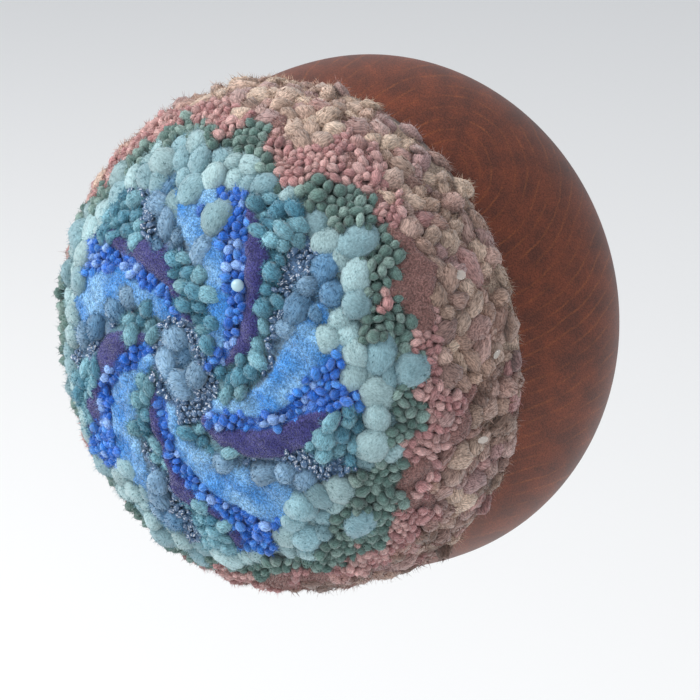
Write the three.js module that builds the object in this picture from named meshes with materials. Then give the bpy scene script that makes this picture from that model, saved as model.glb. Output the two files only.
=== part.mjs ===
// Framed fiber sculpture for a wall: a turned wooden bowl lies on its foot against the wall, and a domed
// piece of tufted wool fills its mouth. The long tufts of the dome's edge lap over the bowl's rim.
// Units are millimetres. +Z is up, the front looks towards -Y and the wall is the plane Y = 0.
// The origin is the centre of the bowl's flat foot.
import * as THREE from 'three';

// Bowl sizes. Distances along the axis are counted from the wall.
const BELLY_RADIUS = 76; // the widest radius of the bowl
const BELLY_FROM_WALL = 56; // where that widest ring lies
const REAR_REACH = 60; // half-axis of the outer ellipse behind the widest ring
const FRONT_REACH = 80; // half-axis of the outer ellipse in front of it
const WALL_THICKNESS = 7;
const FOOT_THICKNESS = 10;
const LIP_START = 27; // the lip's rounding starts this far in front of the widest ring
const LIP_HEIGHT = 3; // how far the rounded lip rises past that

// Dome sizes
const MOUTH_GAP = 0.4; // between the wool and the wood
const PLUG_DEPTH = 7; // how far the dome's base goes into the mouth
const LAP_TURN = Math.PI / 5; // where round the lip the wool leaves the wood, from its outer side
const EDGE_RADIUS = 73; // middle of the soft edge that laps over the lip
const EDGE_FROM_WALL = 89;
const EDGE_HALF_WIDTH = 0.9;
const EDGE_HALF_HEIGHT = 1.8;
const EDGE_START_TURN = (4 / 3) * Math.PI; // where round the soft edge its underside begins
const WIDEST_RADIUS = 74.2; // the dome's bulge over the lip
const WIDEST_FROM_WALL = 96.5;
const TOP_FROM_WALL = 145;
const CROWN_FULLNESS = 2.3; // exponent of the crown's curve: 2 is an ellipse, more is squarer

// Unevenness of the pile
const TUFT_SWELL = 0.9; // height of the tufts' lumps at the dome's edge
const TUFTS_ROUND = 18; // lumps in one row round the edge
const TUFT_ROWS = 4.5; // rows of lumps from the edge to the top
const LUMP_RISE = 5; // the lumps reach full height a fifth of the way up from the edge
const CROWN_CALM = 0.75; // share of the lumps that is lost towards the top
const OUT_OF_ROUND = 0.6; // height of the outline's slow wander, a sum of the waves below
const WANDER_WAVES = [
  { lobes: 2, share: 1, turn: 0.6 },
  { lobes: 3, share: 0.7, turn: -1.1 },
];
const EDGE_DROP = 4.2; // the edge laps this much further over the lip on one side, and less opposite
const EDGE_DROP_TOWARDS = -Math.PI / 3; // that side's direction, from +X towards +Z
const EDGE_DROP_FADE = 3; // the drop fades over a third of the way up the crown

// Fineness of the meshes
const SEGMENTS_ROUND = 72;
const STEPS = { belly: 8, shoulder: 4, lip: 6, innerShoulder: 3, hollow: 6, seat: 5, edge: 4, crown: 12 };

// Points of an elliptic arc about a centre, from one angle to another, both ends included.
function arc(centreRadius, centreHeight, halfWidth, halfHeight, from, to, steps) {
  const points = [];
  for (let step = 0; step <= steps; step += 1) {
    const angle = from + ((to - from) * step) / steps;
    const radius = centreRadius + halfWidth * Math.cos(angle);
    const height = centreHeight + halfHeight * Math.sin(angle);
    points.push(new THREE.Vector2(Math.max(radius, 0), height));
  }
  return points;
}

// The ring on which the lip is centred, worked out from the bowl's outer and inner ellipses.
function lipRing() {
  const inner = BELLY_RADIUS - WALL_THICKNESS;
  const innerReach = FRONT_REACH - WALL_THICKNESS;
  const outerEdge = BELLY_RADIUS * Math.sqrt(1 - (LIP_START / FRONT_REACH) ** 2);
  const innerEdge = inner * Math.sqrt(1 - (LIP_START / innerReach) ** 2);
  return {
    radius: (outerEdge + innerEdge) / 2,
    halfWidth: (outerEdge - innerEdge) / 2,
    fromWall: BELLY_FROM_WALL + LIP_START,
  };
}

// The bowl's section: foot, outer curve, lip and inner curve, from the axis round to the axis.
function bowlProfile() {
  const lip = lipRing();
  const inner = BELLY_RADIUS - WALL_THICKNESS;
  const innerReach = FRONT_REACH - WALL_THICKNESS;
  const innerDepth = BELLY_FROM_WALL - FOOT_THICKNESS;
  const footTurn = -Math.asin(BELLY_FROM_WALL / REAR_REACH);
  const outerTurn = Math.asin(LIP_START / FRONT_REACH);
  const innerTurn = Math.asin(LIP_START / innerReach);
  return [
    new THREE.Vector2(0, 0),
    ...arc(0, BELLY_FROM_WALL, BELLY_RADIUS, REAR_REACH, footTurn, 0, STEPS.belly),
    ...arc(0, BELLY_FROM_WALL, BELLY_RADIUS, FRONT_REACH, 0, outerTurn, STEPS.shoulder).slice(1),
    ...arc(lip.radius, lip.fromWall, lip.halfWidth, LIP_HEIGHT, 0, Math.PI, STEPS.lip).slice(1, -1),
    ...arc(0, BELLY_FROM_WALL, inner, innerReach, innerTurn, 0, STEPS.innerShoulder),
    ...arc(0, BELLY_FROM_WALL, inner, innerDepth, 0, -Math.PI / 2, STEPS.hollow).slice(1),
  ];
}

// The crown's curve: a superellipse from the widest ring, angle 0, to the top, angle 90 degrees.
function crownPoints() {
  const power = 2 / CROWN_FULLNESS;
  const height = TOP_FROM_WALL - WIDEST_FROM_WALL;
  const points = [];
  for (let step = 0; step <= STEPS.crown; step += 1) {
    const angle = (Math.PI / 2) * (step / STEPS.crown);
    const radius = step === STEPS.crown ? 0 : WIDEST_RADIUS * Math.cos(angle) ** power;
    points.push(new THREE.Vector2(radius, WIDEST_FROM_WALL + height * Math.sin(angle) ** power));
  }
  return points;
}

// The dome's section: flat base in the mouth, over the lip with a gap, round the soft edge and up the
// crown. The first points, which lie against the wood, are counted so that they keep their place.
function domeProfile() {
  const lip = lipRing();
  const lipWidth = lip.halfWidth + MOUTH_GAP;
  const lipHeight = LIP_HEIGHT + MOUTH_GAP;
  const plugRadius = lip.radius - lipWidth;
  const seat = [
    new THREE.Vector2(0, lip.fromWall - PLUG_DEPTH),
    new THREE.Vector2(plugRadius, lip.fromWall - PLUG_DEPTH),
    ...arc(lip.radius, lip.fromWall, lipWidth, lipHeight, Math.PI, LAP_TURN, STEPS.seat),
  ];
  const edge = arc(
    EDGE_RADIUS,
    EDGE_FROM_WALL,
    EDGE_HALF_WIDTH,
    EDGE_HALF_HEIGHT,
    EDGE_START_TURN,
    2 * Math.PI,
    STEPS.edge,
  );
  const outerEdge = EDGE_RADIUS + EDGE_HALF_WIDTH;
  const swell = arc(
    outerEdge,
    WIDEST_FROM_WALL,
    WIDEST_RADIUS - outerEdge,
    WIDEST_FROM_WALL - EDGE_FROM_WALL,
    -Math.PI / 2,
    0,
    STEPS.edge,
  ).slice(1, -1);
  return { points: [...seat, ...edge, ...swell, ...crownPoints()], seatCount: seat.length };
}

// The slow wander of the outline at one turn round the axis.
function outlineWander(turn) {
  return WANDER_WAVES.reduce((sum, wave) => sum + wave.share * Math.cos(wave.lobes * turn + wave.turn), 0);
}

// Moves each pile vertex away from the dome's middle by the tufts' lumps and the slow wander, and along
// the axis by the edge's drop. Lumps lie in rows, each row shifted by half a lump, and fade out at the
// wood and towards the top.
function roughenPile(geometry, profile) {
  const position = geometry.attributes.position;
  const rows = profile.points.length;
  const lastRow = rows - 1;
  const centre = new THREE.Vector3(0, WIDEST_FROM_WALL, 0);
  const vertex = new THREE.Vector3();
  for (let index = 0; index < position.count; index += 1) {
    const row = index % rows;
    if (row < profile.seatCount || row === lastRow) continue;
    const turn = (2 * Math.PI * (Math.floor(index / rows) % SEGMENTS_ROUND)) / SEGMENTS_ROUND;
    const climb = (row - profile.seatCount) / (lastRow - profile.seatCount);
    const lumps = TUFT_SWELL * Math.cos(TUFTS_ROUND * turn) * Math.cos(2 * Math.PI * TUFT_ROWS * climb);
    const wander = OUT_OF_ROUND * outlineWander(turn);
    const fade = Math.min(1, climb * LUMP_RISE) * (1 - climb);
    const swell = fade * (lumps * (1 - CROWN_CALM * climb) + wander);
    const drop = EDGE_DROP * Math.cos(turn - Math.PI / 2 - EDGE_DROP_TOWARDS);
    vertex.fromBufferAttribute(position, index);
    const outward = vertex.clone().sub(centre).normalize();
    vertex.addScaledVector(outward, swell);
    vertex.y -= drop * Math.max(0, 1 - EDGE_DROP_FADE * climb);
    position.setXYZ(index, vertex.x, vertex.y, vertex.z);
  }
  return geometry;
}

// A named mesh turned so that its lathe axis points away from the wall, towards -Y.
function standOffWall(name, geometry, look) {
  const mesh = new THREE.Mesh(geometry, new THREE.MeshStandardMaterial(look));
  mesh.name = name;
  mesh.rotation.x = Math.PI;
  return mesh;
}

function makeBowl() {
  const geometry = new THREE.LatheGeometry(bowlProfile(), SEGMENTS_ROUND);
  return standOffWall('bowl', geometry, { color: 0x7a4030, roughness: 0.45, metalness: 0 });
}

function makeTuftedDome() {
  const profile = domeProfile();
  const geometry = roughenPile(new THREE.LatheGeometry(profile.points, SEGMENTS_ROUND), profile);
  return standOffWall('tufted_dome', geometry, { color: 0x8fa4a8, roughness: 0.95, metalness: 0 });
}

const sculpture = new THREE.Group();
sculpture.add(makeBowl(), makeTuftedDome());

export default sculpture;
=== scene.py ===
"""Looks of a domed tufted wool piece that sits in the mouth of a turned wooden bowl.

Lengths are metres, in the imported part's own frame: +Z is up, the front looks towards -Y and the
bowl's flat foot lies in the plane Y = 0. The wool is laid out on the dome as if it were flattened: a
point's distance from the middle is its arc length from the dome's top, and its direction is its turn
round the bowl's axis.
"""

import math
from typing import NamedTuple

import bpy
import numpy as np
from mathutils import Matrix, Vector


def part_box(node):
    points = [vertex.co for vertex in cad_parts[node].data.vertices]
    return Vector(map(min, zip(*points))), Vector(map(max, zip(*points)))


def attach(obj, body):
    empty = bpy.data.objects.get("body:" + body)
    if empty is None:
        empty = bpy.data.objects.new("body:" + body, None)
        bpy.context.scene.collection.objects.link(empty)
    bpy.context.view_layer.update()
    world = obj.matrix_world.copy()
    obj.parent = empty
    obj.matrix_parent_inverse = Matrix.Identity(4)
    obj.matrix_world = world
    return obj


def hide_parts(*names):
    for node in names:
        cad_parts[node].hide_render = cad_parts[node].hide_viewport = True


bl_info = {
    "name": "Tufted wool dome in a turned bowl",
    "version": (1, 0, 0),
    "blender": (4, 5, 0),
    "location": "3D View > Sidebar > Wool Dome",
    "description": "Builds the wood, the ground cloth, the pile and the stage round the packed frame",
    "category": "Add Mesh",
}

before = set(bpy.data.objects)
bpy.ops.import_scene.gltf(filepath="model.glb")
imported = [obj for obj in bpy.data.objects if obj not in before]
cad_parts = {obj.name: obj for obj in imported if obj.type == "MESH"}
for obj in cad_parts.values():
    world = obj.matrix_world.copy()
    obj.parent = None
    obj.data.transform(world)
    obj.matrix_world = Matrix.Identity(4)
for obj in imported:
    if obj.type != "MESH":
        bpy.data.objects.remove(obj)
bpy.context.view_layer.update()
MM = 0.001

# Sizes read from the frame
DOME_LOW, DOME_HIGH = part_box("tufted_dome")
_, BOWL_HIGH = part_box("bowl")
TOP_FROM_FOOT = -DOME_LOW.y
WIDEST_RADIUS = DOME_HIGH.x
BELLY_RADIUS = BOWL_HIGH.x

# Bowl section, as the part's source has it. The two reaches and the lip's start count from the belly.
BELLY_FROM_FOOT = 56 * MM
REAR_REACH = 60 * MM
FRONT_REACH = 80 * MM
WALL_THICKNESS = 7 * MM
FOOT_THICKNESS = 10 * MM
LIP_START = 27 * MM
LIP_HEIGHT = 3 * MM
MOUTH_GAP = 0.4 * MM
PLUG_DEPTH = 7 * MM

# Dome section
WIDEST_FROM_FOOT = 96.5 * MM
CROWN_FULLNESS = 2.3
EDGE_RADIUS = 73 * MM
EDGE_FROM_FOOT = 89 * MM
EDGE_HALF_WIDTH = 0.9 * MM
EDGE_HALF_HEIGHT = 1.8 * MM
EDGE_DROP = 4.2 * MM
EDGE_DROP_TOWARDS = -math.pi / 3
EDGE_DROP_FADE = 32 * MM

# Outer edge of each part of the colour layout on the flattened dome, in millimetres from the middle
LAYOUT = {
    "hub": 7.5,
    "hub_ring": 12.5,
    "whirl": 55.0,
    "aqua_ring": 65.0,
    "green_ring": 71.5,
    "rose_ring": 84.5,
}
# Height of the waves on each edge in millimetres, and how much of the shared wander it takes
EDGE_WAVE = {"whirl": 3.2, "aqua_ring": 3.0, "green_ring": 4.0, "rose_ring": 3.0}
EDGE_WANDER = {"whirl": 1.0, "aqua_ring": 1.4, "green_ring": 1.6, "rose_ring": 2.8}
SCALLOPS = 7
ROSE_LOBES = 5
WHIRL_ARMS = 5
WHIRL_TWIST = 1.35
# Share of an arm's part of the turn that each yarn takes; teal fills what is left
ARM_SHARE = {"navy": 0.21, "cobalt": 0.17, "sky": 0.2, "sky_belly": 0.14, "slate": 0.15, "sparkle": 0.11}

YARNS = [
    "edge", "rose", "rust", "green", "aqua", "teal", "cobalt", "sky", "navy", "slate", "sparkle",
]
YARN = {name: number for number, name in enumerate(YARNS)}

# Painted shade and light on each loop and tuft: brightness of the hidden underside of each loop, and of
# the softer tufts, as painted shade; the top is a little over one, as painted light
TOP_PAINTED_LIGHT = 1.12
LOOP_PAINTED_SHADE = 0.45
TUFT_PAINTED_SHADE = {"edge": 0.6, "aqua": 0.68, "slate": 0.68}

# How far the ground lies under the pile's outer reach, in millimetres, for each yarn
GROUND_DEPTH = {
    "edge": 5.4, "rose": 2.6, "rust": 1.4, "green": 3.0, "aqua": 3.0, "teal": 3.2, "cobalt": 2.6,
    "sky": 1.3, "navy": 0.5, "slate": 3.2, "sparkle": 3.4,
}


def srgb(red, green, blue):
    """Linear colour of a display colour with channels from 0 to 255."""
    def linear(channel):
        share = channel / 255
        return share / 12.92 if share <= 0.04045 else ((share + 0.055) / 1.055) ** 2.4
    return tuple(linear(channel) for channel in (red, green, blue))


# Section of the dome and places on it

def ellipse(centre, half, start, end, steps):
    """Radius and distance from the foot along an elliptic arc, one row for each step."""
    turn = np.linspace(start, end, steps + 1)
    return np.stack([centre[0] + half[0] * np.cos(turn), centre[1] + half[1] * np.sin(turn)], axis=1)


def lip_ring():
    """Centre and half width of the bowl's rounded lip, from its outer and inner ellipses."""
    inner = BELLY_RADIUS - WALL_THICKNESS
    outer_edge = BELLY_RADIUS * math.sqrt(1 - (LIP_START / FRONT_REACH) ** 2)
    inner_edge = inner * math.sqrt(1 - (LIP_START / (FRONT_REACH - WALL_THICKNESS)) ** 2)
    return (outer_edge + inner_edge) / 2, (outer_edge - inner_edge) / 2, BELLY_FROM_FOOT + LIP_START


def crown_curve():
    """Dome section from the top outwards: superellipse, soft swell, rounded edge and its underside."""
    power = 2 / CROWN_FULLNESS
    turn = np.linspace(math.pi / 2, 0, 160)
    height = TOP_FROM_FOOT - WIDEST_FROM_FOOT
    crown = np.stack([
        WIDEST_RADIUS * np.maximum(np.cos(turn), 0) ** power,
        WIDEST_FROM_FOOT + height * np.sin(turn) ** power,
    ], axis=1)
    crown[0, 0] = 0
    outer = EDGE_RADIUS + EDGE_HALF_WIDTH
    swell = ellipse(
        (outer, WIDEST_FROM_FOOT),
        (WIDEST_RADIUS - outer, WIDEST_FROM_FOOT - EDGE_FROM_FOOT),
        0, -math.pi / 2, 16,
    )
    edge = ellipse(
        (EDGE_RADIUS, EDGE_FROM_FOOT), (EDGE_HALF_WIDTH, EDGE_HALF_HEIGHT), 0, -2 * math.pi / 3, 16,
    )
    return np.concatenate([crown, swell[1:], edge[1:]])


CURVE = crown_curve()
ARC = np.concatenate([[0], np.cumsum(np.linalg.norm(np.diff(CURVE, axis=0), axis=1))])
REACH = ARC[-1]


def section_at(arc):
    """Radius, distance from the foot and outward normal at arc lengths from the dome's top."""
    radius = np.interp(arc, ARC, CURVE[:, 0])
    forward = np.interp(arc, ARC, CURVE[:, 1])
    step = 0.8 * MM
    before, after = np.clip(arc - step, 0, REACH), np.clip(arc + step, 0, REACH)
    run = np.interp(after, ARC, CURVE[:, 0]) - np.interp(before, ARC, CURVE[:, 0])
    rise = np.interp(after, ARC, CURVE[:, 1]) - np.interp(before, ARC, CURVE[:, 1])
    length = np.maximum(np.hypot(run, rise), 1e-9)
    return radius, forward, -rise / length, run / length


def on_dome(arc, turn, lift):
    """Points at a lift above the pile's outer reach, and the outward, downhill and sideways directions.

    The radius and the distance from the foot follow the section. The edge's drop moves points towards
    the foot on one side, by a cosine of the turn that fades out above the edge.
    """
    radius, forward, normal_out, normal_forward = section_at(arc)
    fade = np.clip((arc - (REACH - EDGE_DROP_FADE)) / EDGE_DROP_FADE, 0, 1)
    drop = EDGE_DROP * np.cos(turn - EDGE_DROP_TOWARDS) * fade
    along = radius + lift * normal_out
    cos, sin = np.cos(turn), np.sin(turn)
    points = np.stack([along * cos, -(forward + lift * normal_forward - drop), along * sin], axis=-1)
    outward = np.stack([normal_out * cos, -normal_forward, normal_out * sin], axis=-1)
    sideways = np.stack([-sin, np.zeros_like(sin), cos], axis=-1)
    return points, outward, np.cross(sideways, outward), sideways


# Colour layout: a whirl of arms round an eye, inside scalloped rings

def wave_noise(x, y, seed, scale):
    """Smooth noise of about -1 to 1: a sum of sine waves in several directions, scale millimetres long."""
    rng = np.random.default_rng(seed)
    total = np.zeros_like(x)
    waves = 9
    for _ in range(waves):
        heading, phase = rng.uniform(0, 2 * math.pi, 2)
        length = scale * rng.uniform(0.6, 1.7)
        total += np.sin((x * math.cos(heading) + y * math.sin(heading)) * 2 * math.pi / length + phase)
    return total / math.sqrt(waves)


def ring_edge(name, wave, wander):
    """Distance of a ring's edge from the middle: its radius, its wave and its part of the wander."""
    return LAYOUT[name] + EDGE_WAVE[name] * wave + EDGE_WANDER[name] * wander


def yarn_at(x, y):
    """Number of the yarn at each point of the flattened dome, given in millimetres.

    Rings are thresholds of the distance from the middle, waved by scallops and noise. Between the hub
    and the rings, curved arms share each turn between navy, cobalt, sky, slate, sparkle and teal. The
    arms swing on towards the hub, and their navy part is widest halfway.
    """
    arc, turn = np.hypot(x, y), np.arctan2(y, x)
    wander = 1.9 * wave_noise(x, y, 3, 24) + 0.8 * wave_noise(x, y, 4, 9)
    drift = wave_noise(x, y, 5, 34)
    scallop = np.cos(SCALLOPS * turn + 0.9 * np.sin(2 * turn) + 0.4)
    lobes = np.cos(WHIRL_ARMS * turn + 1.2)
    whirl_edge = ring_edge("whirl", lobes, wander)
    aqua_edge = ring_edge("aqua_ring", scallop, wander)
    green_edge = ring_edge("green_ring", scallop, wander)
    rose_edge = ring_edge("rose_ring", np.cos(ROSE_LOBES * turn + 2.0), wander)
    share = np.clip((arc - LAYOUT["hub"]) / (LAYOUT["whirl"] - LAYOUT["hub"]), 0, 1)
    swing = turn + WHIRL_TWIST * (1 - share) + 0.11 * drift
    phase = np.mod(swing * WHIRL_ARMS / (2 * math.pi), 1)
    belly = np.sin(math.pi * np.clip(share, 0.02, 0.98)) ** 0.7
    navy_end = ARM_SHARE["navy"] * belly * (1 + 0.5 * drift)
    cobalt_end = navy_end + ARM_SHARE["cobalt"] + 0.05 * drift
    sky_end = cobalt_end + ARM_SHARE["sky"] + ARM_SHARE["sky_belly"] * belly
    slate_end = sky_end + ARM_SHARE["slate"] * np.clip(3 * share - 1, 0, 1)
    spark_end = slate_end + ARM_SHARE["sparkle"] * np.clip(3 * share - 1.1, 0, 1)
    yarn = np.full(x.shape, YARN["teal"])
    yarn[phase < spark_end] = YARN["sparkle"]
    yarn[phase < slate_end] = YARN["slate"]
    yarn[phase < sky_end] = YARN["sky"]
    yarn[phase < cobalt_end] = YARN["cobalt"]
    yarn[phase < navy_end] = YARN["navy"]
    yarn[arc < LAYOUT["hub_ring"] + wander] = YARN["sparkle"]
    yarn[arc < LAYOUT["hub"] + wander] = YARN["slate"]
    yarn[arc > whirl_edge] = YARN["aqua"]
    yarn[arc > aqua_edge] = YARN["green"]
    yarn[arc > green_edge] = YARN["rose"]
    sheared = (arc > green_edge) & (np.cos(SCALLOPS * turn + 2.4) + 0.5 * wander > 0.35)
    yarn[sheared] = YARN["rust"]
    yarn[arc > rose_edge] = YARN["edge"]
    return yarn


def yarn_on(arc, turn):
    """Number of the yarn at arc lengths and turns on the dome."""
    return yarn_at(arc / MM * np.cos(turn), arc / MM * np.sin(turn))


# Meshes from arrays

def build_mesh(name, points, quads, triangles, tint=None, strand=None):
    """One smooth mesh object at the origin, from point, quad and triangle arrays.

    tint is a colour for each point, and strand its place along and across the fibres of its tuft.
    """
    mesh = bpy.data.meshes.new(name)
    mesh.vertices.add(len(points))
    mesh.vertices.foreach_set("co", np.asarray(points, np.float32).ravel())
    corners = np.concatenate([quads.ravel(), triangles.ravel()]).astype(np.int32)
    sizes = np.concatenate([np.full(len(quads), 4), np.full(len(triangles), 3)]).astype(np.int32)
    mesh.loops.add(len(corners))
    mesh.loops.foreach_set("vertex_index", corners)
    mesh.polygons.add(len(sizes))
    mesh.polygons.foreach_set("loop_start", np.concatenate([[0], np.cumsum(sizes)[:-1]]).astype(np.int32))
    mesh.polygons.foreach_set("use_smooth", np.ones(len(sizes), bool))
    if tint is not None:
        colour = np.ones((len(points), 4), np.float32)
        colour[:, :3] = tint
        layer = mesh.color_attributes.new("tint", "FLOAT_COLOR", "POINT")
        layer.data.foreach_set("color", colour.ravel())
    if strand is not None:
        layer = mesh.attributes.new("strand", "FLOAT_VECTOR", "POINT")
        layer.data.foreach_set("vector", np.asarray(strand, np.float32).ravel())
    mesh.update(calc_edges=True)
    mesh.validate()
    piece = bpy.data.objects.new(name, mesh)
    bpy.context.scene.collection.objects.link(piece)
    return piece


def finish_piece(piece, material):
    """Gives a piece its material and rides it on the root body."""
    piece.data.materials.append(material)
    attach(piece, "root")
    return piece


def blob_shape(around, down):
    """Unit sphere on a grid: the fall runs from pole to pole along X and the turn goes round X. A cap of
    triangles closes each pole."""
    turn = np.arange(around) * 2 * math.pi / around
    fall = np.arange(1, down) * math.pi / down
    ring = np.stack([
        np.outer(np.cos(fall), np.ones(around)),
        np.outer(np.sin(fall), np.cos(turn)),
        np.outer(np.sin(fall), np.sin(turn)),
    ], axis=-1).reshape(-1, 3)
    points = np.concatenate([ring, [[1, 0, 0]], [[-1, 0, 0]]])
    rows = np.arange(down - 2)[:, None] * around
    columns = np.arange(around)[None]
    following = (columns + 1) % around
    quads = np.stack([
        rows + columns, rows + around + columns, rows + around + following, rows + following,
    ], axis=-1).reshape(-1, 4)
    top, bottom, last = len(ring), len(ring) + 1, (down - 2) * around
    first_cap = np.stack([columns[0], following[0], np.full(around, top)], axis=-1)
    last_cap = np.stack([last + following[0], last + columns[0], np.full(around, bottom)], axis=-1)
    return points, quads, np.concatenate([first_cap, last_cap])


# Waves that make a tuft lumpy: turns along X, Y and Z in radians, and share of the lumps' height
LUMP_WAVES = [((3.1, 0, 2.2), 1), ((0, 2.7, -3.3), 1), ((5.3, 4.9, 0), 0.6)]


def copies(shape, centres, axes, sizes, lumps, bend, rng):
    """Every copy of a shape at once, with its strand coordinates and its shade.

    The unit sphere swells by sine waves of its own coordinates, narrows towards both ends of X, sags by
    a parabola of X and is stretched by its sizes. Then it is turned to its axes, given as rows. The
    shade is painted shade, which falls from one on top to nothing underneath.
    """
    count = len(centres)
    phase = rng.uniform(0, 2 * math.pi, (count, 1, 4))
    x, y, z = shape[None, :, 0], shape[None, :, 1], shape[None, :, 2]
    swell = 1 + lumps * sum(
        share * np.sin(turns[0] * x + turns[1] * y + turns[2] * z + phase[..., number])
        for number, (turns, share) in enumerate(LUMP_WAVES)
    )
    narrow = swell * (1 - 0.2 * x ** 2)
    sag = bend * rng.uniform(0.3, 1.5, (count, 1)) * x ** 2
    local = np.stack([x * swell, y * narrow, z * narrow - sag], axis=-1) * sizes[:, None, :]
    strand = local + rng.uniform(0, 1, (count, 1, 3))
    points = centres[:, None, :] + np.einsum("kni,kij->knj", local, axes)
    shade = np.repeat(np.clip(0.5 + 0.7 * z, 0, 1), count, axis=0)
    return points, strand, shade


def join_faces(faces, count, stride):
    """The same faces for each of several copies, with the point numbers moved on by stride."""
    return (faces[None] + (np.arange(count) * stride)[:, None, None]).reshape(-1, faces.shape[1])


# Distance between rows as a share of the spacing in them, about as in a hexagonal packing
ROW_CLOSENESS = 0.88


def rows_on_dome(spacing, jitter, rng):
    """Arc lengths and turns in rings round the dome, about one spacing apart and jittered."""
    rings = np.arange(spacing / 2, REACH, spacing * ROW_CLOSENESS)
    radius = section_at(rings)[0]
    counts = np.maximum(np.round(2 * math.pi * radius / spacing), 1).astype(int)
    ring_of = np.repeat(np.arange(len(rings)), counts)
    place = np.arange(len(ring_of)) - np.repeat(np.cumsum(counts) - counts, counts)
    stagger = 0.5 * (ring_of % 2) + jitter * rng.uniform(-1, 1, len(ring_of))
    turn = (place + stagger) * 2 * math.pi / counts[ring_of]
    arc = rings[ring_of] + jitter * spacing * rng.uniform(-1, 1, len(ring_of))
    return np.clip(arc, 0, REACH), np.mod(turn, 2 * math.pi)


def turned_axes(outward, downhill, sideways, spin, tilt, rng):
    """Directions of each copy: spun about the outward one, then leant by a random small tilt."""
    cos, sin = np.cos(spin)[:, None], np.sin(spin)[:, None]
    along = cos * downhill + sin * sideways
    lean = tilt * rng.normal(size=(len(spin), 2))
    up = outward + lean[:, :1] * downhill + lean[:, 1:] * sideways
    up /= np.linalg.norm(up, axis=1, keepdims=True)
    along -= np.sum(along * up, axis=1, keepdims=True) * up
    along /= np.linalg.norm(along, axis=1, keepdims=True)
    return np.stack([along, np.cross(up, along), up], axis=1)


def blend_tints(colours, weights):
    """Weighted mean of several colours for each copy."""
    weights = weights / weights.sum(axis=1, keepdims=True)
    return weights @ np.asarray(colours, float)


def random_tints(colours, count, rng, mixing=0.25, lightness=0.1):
    """A tint for each copy: mostly one of the colours, with some of the others, lighter or darker."""
    weights = mixing * rng.random((count, len(colours)))
    weights[np.arange(count), rng.integers(0, len(colours), count)] += 1
    tints = blend_tints(colours, weights)
    return tints * (1 + lightness * rng.normal(size=(count, 1))).clip(0.6, 1.5)


def unit(vectors):
    """The vectors at length one."""
    return vectors / np.maximum(np.linalg.norm(vectors, axis=-1, keepdims=True), 1e-9)


def hair_spokes(directions):
    """Three unit vectors square to each hair's direction, a third of a turn apart."""
    helper = np.where(np.abs(directions[:, :1]) < 0.8, [[1.0, 0, 0]], [[0, 1.0, 0]])
    side = unit(np.cross(directions, helper))
    other = np.cross(directions, side)
    turn = np.arange(3) * 2 * math.pi / 3
    return np.cos(turn)[None, :, None] * side[:, None] + np.sin(turn)[None, :, None] * other[:, None]


def straight_hairs(roots, directions, lengths, widths, tints):
    """Thin closed spikes: a triangle at the root and a tip a length away along the direction."""
    count = len(roots)
    ring = roots[:, None] + (widths / 2)[:, None, None] * hair_spokes(directions)
    tip = (roots + directions * lengths[:, None])[:, None]
    points = np.concatenate([ring, tip], axis=1)
    faces = np.array([[0, 1, 3], [1, 2, 3], [2, 0, 3], [2, 1, 0]])
    return points.reshape(-1, 3), join_faces(faces, count, 4), np.repeat(tints, 4, axis=0)


def bent_hairs(roots, directions, bends, lengths, widths, tints):
    """Closed tapered hairs of two stretches: the second stretch leans from the first by the bend."""
    count = len(roots)
    spoke = hair_spokes(directions)
    middle = roots + directions * (0.5 * lengths)[:, None]
    tip = middle + unit(directions + bends) * (0.5 * lengths)[:, None]
    points = np.concatenate([
        roots[:, None] + (widths / 2)[:, None, None] * spoke,
        middle[:, None] + (widths / 3)[:, None, None] * spoke,
        tip[:, None],
    ], axis=1)
    quads = np.array([[0, 1, 4, 3], [1, 2, 5, 4], [2, 0, 3, 5]])
    ends = np.array([[3, 4, 6], [4, 5, 6], [5, 3, 6], [2, 1, 0]])
    return (
        points.reshape(-1, 3),
        join_faces(quads, count, 7),
        join_faces(ends, count, 7),
        np.repeat(tints, 7, axis=0),
    )


def roots_on_copies(points, quads, shape, centres, number, rng):
    """Random points on the upper faces of placed copies, the way out from the copy's centre and the
    number of the copy that each lies on."""
    upper = quads[np.mean(shape[quads, 2], axis=1) > -0.1]
    copy = rng.integers(0, len(points), number)
    face = upper[rng.integers(0, len(upper), number)]
    weight = rng.dirichlet([1.0] * 4, number)
    root = np.einsum("kc,kcj->kj", weight, points[copy[:, None], face])
    return root, unit(root - centres[copy]), copy


def fuzz_directions(outward, along, standing, rng):
    """Directions of loose fibres: a share of them stand off, and the others lie along the tuft."""
    count = len(outward)
    stand = (rng.random((count, 1)) < standing).astype(float)
    side = along * rng.choice([-1.0, 1.0], (count, 1))
    return unit(
        (0.42 + 0.6 * stand) * outward + (0.6 - 0.4 * stand) * side
        + 0.6 * rng.normal(size=(count, 3))
    )


# Materials

# Sockets of a Mix node that mixes colours: factor, first and second colour, and result
MIX_FACTOR, MIX_FIRST, MIX_SECOND, MIX_RESULT = 0, 6, 7, 2
# How far on each side of its mean a noise is taken to reach
NOISE_SPREAD = 0.14


def node(tree, kind, **values):
    """A new shader node with some attributes and input values set."""
    made = tree.nodes.new(kind)
    for key, value in values.items():
        if key in made.inputs:
            made.inputs[key].default_value = value
        else:
            setattr(made, key, value)
    return made


def new_material(name):
    """An empty node material with its output and main shader."""
    material = bpy.data.materials.new(name)
    material.use_nodes = True
    tree = material.node_tree
    tree.nodes.clear()
    output = tree.nodes.new("ShaderNodeOutputMaterial")
    shader = tree.nodes.new("ShaderNodeBsdfPrincipled")
    tree.links.new(shader.outputs["BSDF"], output.inputs["Surface"])
    return material, tree, shader


def ramp(tree, value, start, end, low=0.0, high=1.0):
    """A value that goes from low to high while the given one goes from start to end."""
    limits = {"From Min": start, "From Max": end, "To Min": low, "To Max": high}
    made = node(tree, "ShaderNodeMapRange", **limits)
    tree.links.new(value, made.inputs["Value"])
    return made.outputs["Result"]


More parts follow.
